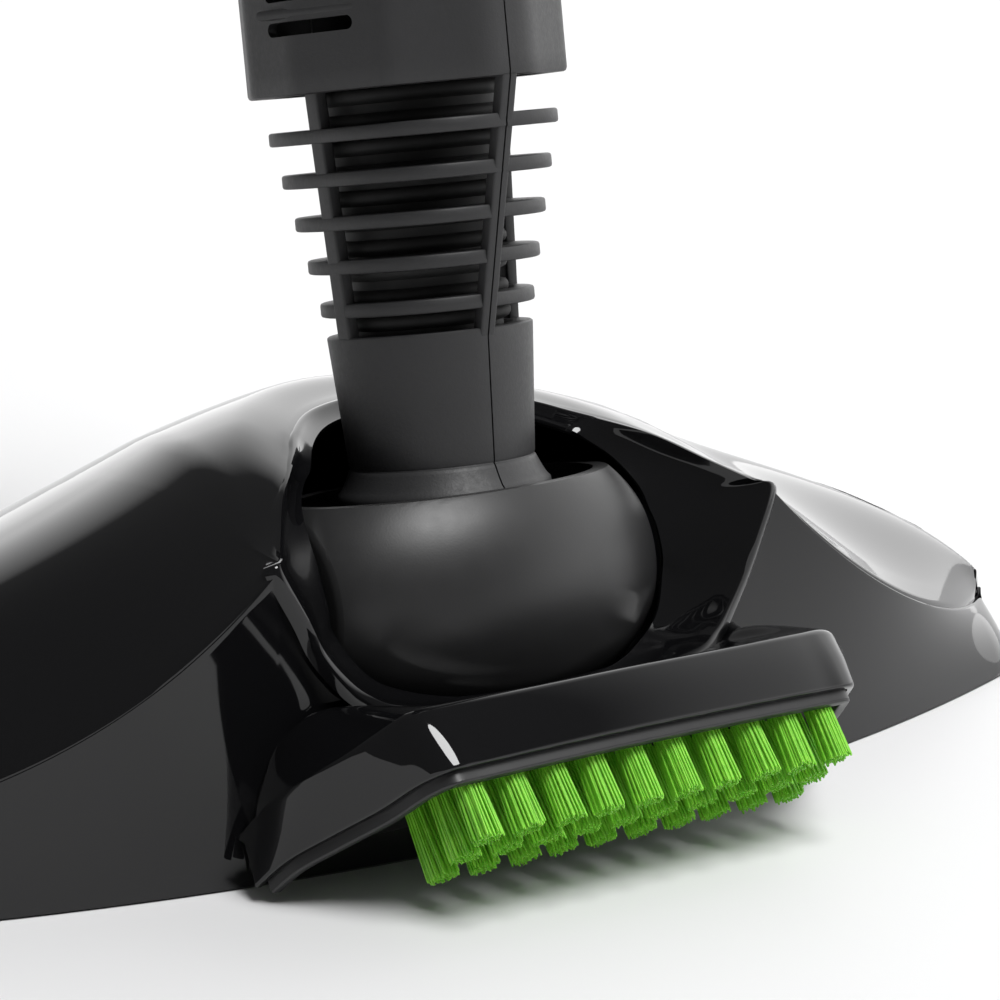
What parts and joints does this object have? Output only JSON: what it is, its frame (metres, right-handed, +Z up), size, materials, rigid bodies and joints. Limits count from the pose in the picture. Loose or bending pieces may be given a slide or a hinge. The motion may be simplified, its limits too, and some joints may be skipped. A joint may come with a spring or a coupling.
{
  "type": "upright steam carpet cleaner",
  "caption": "Upright steam carpet cleaner: low gloss floor head with a rear scrubbing brush, a tilting barrel joint, a ribbed neck, a body with a removable tank and a long loop handle.",
  "frame": {"origin": "middle of the floor head on the underside of the sole plate, which stands on the floor", "axes": "+X to the right across the head, +Y forward in the direction of travel away from the brush, +Z up"},
  "size_m": [0.3256, 0.2734, 1.1089],
  "materials": {
    "gloss_black": "high gloss moulded ABS",
    "satin_black": "satin moulded plastic",
    "grained_black": "fine spark-eroded texture",
    "rubber": "matt",
    "bristle_green": "nylon filament",
    "accent_green": "satin gloss",
    "steel": "brushed",
    "brass": "turned",
    "inner_grey": "moulded engineering plastic",
    "tank_clear": "smoked translucent plastic",
    "board": "lacquered laminate",
    "lens": "moulded lens"
  },
  "bodies": {
    "head": {"sole_plate": "satin_black", "base_shell": "gloss_black", "top_cover": "gloss_black", "cradle_ring": "gloss_black", "brush_hood": "gloss_black", "brush_plate": "satin_black", "bristle_row_1": "bristle_green", "bristle_row_2": "bristle_green", "bristle_row_3": "bristle_green", "pocket_tray_left": "satin_black", "pocket_tray_right": "satin_black", "bearing_pedestal_left": "inner_grey", "bearing_pedestal_right": "inner_grey", "cover_screw_1": "steel", "cover_screw_2": "steel", "cover_screw_3": "steel", "cover_screw_4": "steel", "steam_manifold": "inner_grey", "head_hose": "rubber", "park_spring": "steel"},
    "barrel": {"barrel_shell": "satin_black", "axle_left": "inner_grey", "axle_right": "inner_grey", "swing_pin": "steel"},
    "mast": {"neck_shell_left": "grained_black", "neck_shell_right": "grained_black", "neck_foot": "inner_grey", "corrugated_sleeve": "rubber", "steam_hose": "rubber", "body_shell_left": "grained_black", "body_shell_right": "grained_black", "boiler": "steel", "pump": "brass", "pump_coil": "board", "control_board": "board", "water_hose": "tank_clear", "indicator_lens": "lens", "cord_inlet": "rubber", "cord_hook_lower": "satin_black", "handle_tube_lower": "steel", "handle_tube_upper": "steel", "tube_collar": "satin_black", "body_collar": "satin_black", "grip_shell_left": "satin_black", "grip_shell_right": "satin_black", "soft_grip": "rubber"},
    "tank": {"water_tank": "tank_clear"},
    "cap": {"tank_cap": "accent_green"},
    "latch": {"tank_latch": "accent_green"},
    "switch": {"power_switch": "accent_green"},
    "dial": {"steam_dial": "satin_black"},
    "button": {"joint_button": "accent_green"},
    "trigger": {"steam_trigger": "accent_green"},
    "hook": {"cord_hook_upper": "satin_black"}
  },
  "joints": [
    {"name": "tilt_back", "type": "hinge", "parent": "head", "child": "barrel", "pos_m": [0, -0.061, 0.045], "axis": [1, 0, 0], "range_deg": [0, 75]},
    {"name": "side_swing", "type": "hinge", "parent": "barrel", "child": "mast", "pos_m": [0, -0.061, 0.045], "axis": [0, 0.9877, -0.1564], "range_deg": [-7, 7]},
    {"name": "tank_lift_off", "type": "slide", "parent": "mast", "child": "tank", "axis": [0, 0.9877, -0.1564], "range_m": [0, 0.075]},
    {"name": "cap_turn", "type": "hinge", "parent": "tank", "child": "cap", "pos_m": [0, 0.0417, 0.41853], "axis": [0, 0.1564, 0.9877], "range_deg": [0, 90]},
    {"name": "latch_press", "type": "slide", "parent": "mast", "child": "latch", "axis": [0, -0.9877, 0.1564], "range_m": [0, 0.003], "stiffness_N_per_m": 600},
    {"name": "switch_rock", "type": "hinge", "parent": "mast", "child": "switch", "pos_m": [0, -0.04671, 0.4133], "axis": [1, 0, 0], "range_deg": [0, 14]},
    {"name": "dial_turn", "type": "hinge", "parent": "mast", "child": "dial", "pos_m": [0, -0.06001, 0.37086], "axis": [0, 0.9877, -0.1564], "range_deg": [0, 120]},
    {"name": "button_press", "type": "slide", "parent": "mast", "child": "button", "axis": [0, 0.9877, -0.1564], "range_m": [0, 0.003], "stiffness_N_per_m": 600},
    {"name": "trigger_squeeze", "type": "hinge", "parent": "mast", "child": "trigger", "pos_m": [0, 0.07341, 1.06301], "axis": [-1, 0, 0], "range_deg": [0, 8], "stiffness_Nm_per_rad": 0.6},
    {"name": "hook_swivel", "type": "hinge", "parent": "mast", "child": "hook", "pos_m": [0, 0.05419, 0.88735], "axis": [0, 0.9877, -0.1564], "range_deg": [0, 180]}
  ]
}
